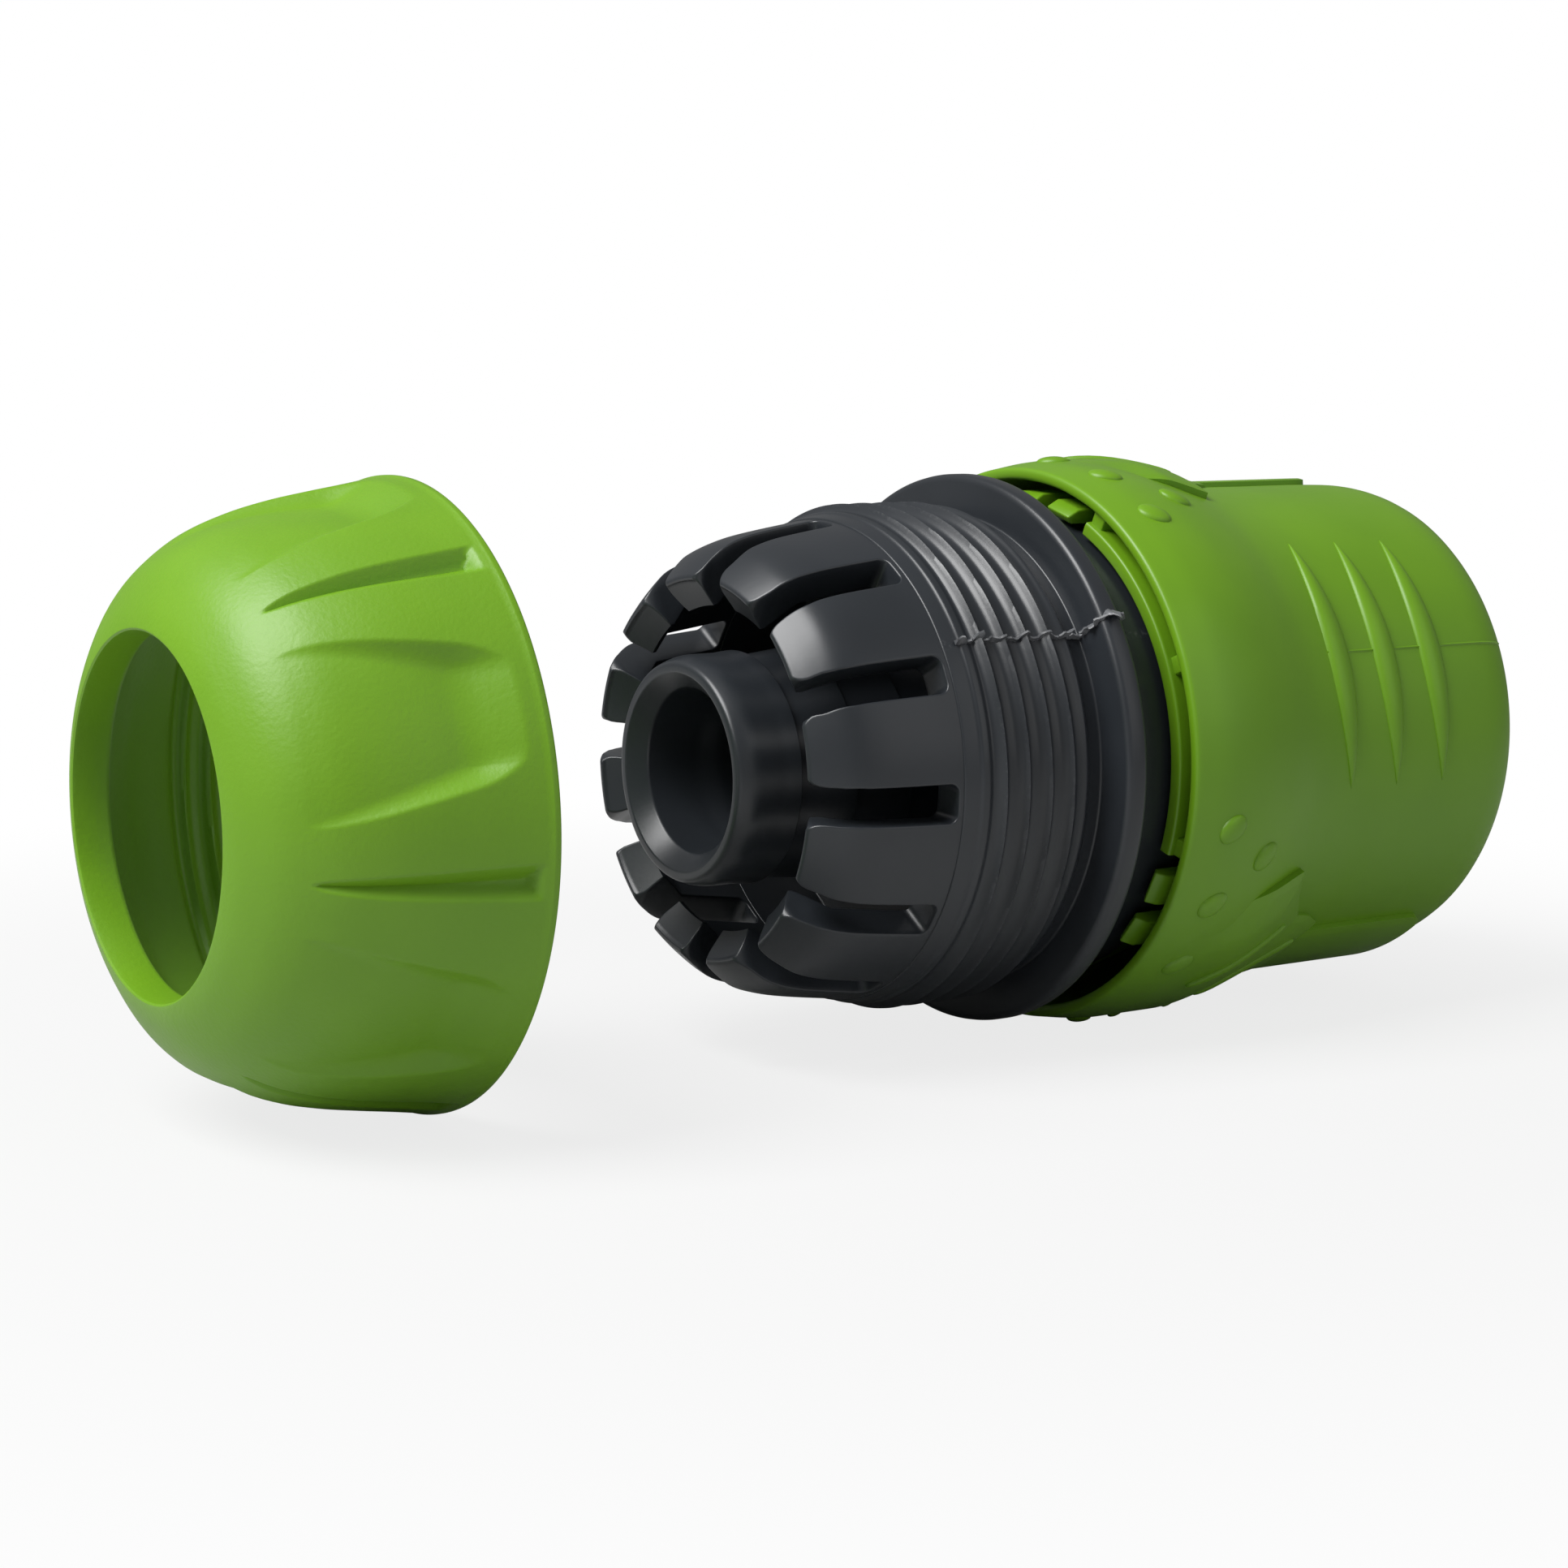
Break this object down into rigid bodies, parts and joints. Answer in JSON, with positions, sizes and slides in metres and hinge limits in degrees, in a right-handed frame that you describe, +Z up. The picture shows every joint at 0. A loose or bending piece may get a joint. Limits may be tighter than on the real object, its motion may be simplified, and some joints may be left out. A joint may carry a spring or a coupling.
{
  "type": "hose quick connector",
  "caption": "Click-on connector for a half-inch garden hose: barbed tail with claw basket and threaded sleeve, release collar, and a clamp nut set apart in front.",
  "frame": {"origin": "centre of the hose tail's front face", "axes": "+X along the connector's axis from the hose tail towards the adapter socket, +Z up with the part lying on its side, right-handed"},
  "size_m": [0.0801, 0.0324, 0.0325],
  "materials": {
    "body_plastic": "satin, moulded",
    "nut_plastic": "satin, moulded",
    "collar_plastic": "satin, moulded",
    "ring_plastic": "satin, moulded"
  },
  "bodies": {
    "hose_end": {"hose_end_body": "body_plastic", "locking_ring": "ring_plastic"},
    "nut": {"clamp_nut": "nut_plastic"},
    "collar": {"release_collar": "collar_plastic"}
  },
  "joints": [
    {"name": "nut_slide", "type": "slide", "parent": "hose_end", "child": "nut", "axis": [1, 0, 0], "range_m": [0, 0.0278]},
    {"name": "collar_slide", "type": "slide", "parent": "hose_end", "child": "collar", "axis": [-1, 0, 0], "range_m": [0, 0.0026], "stiffness_N_per_m": 4000}
  ]
}
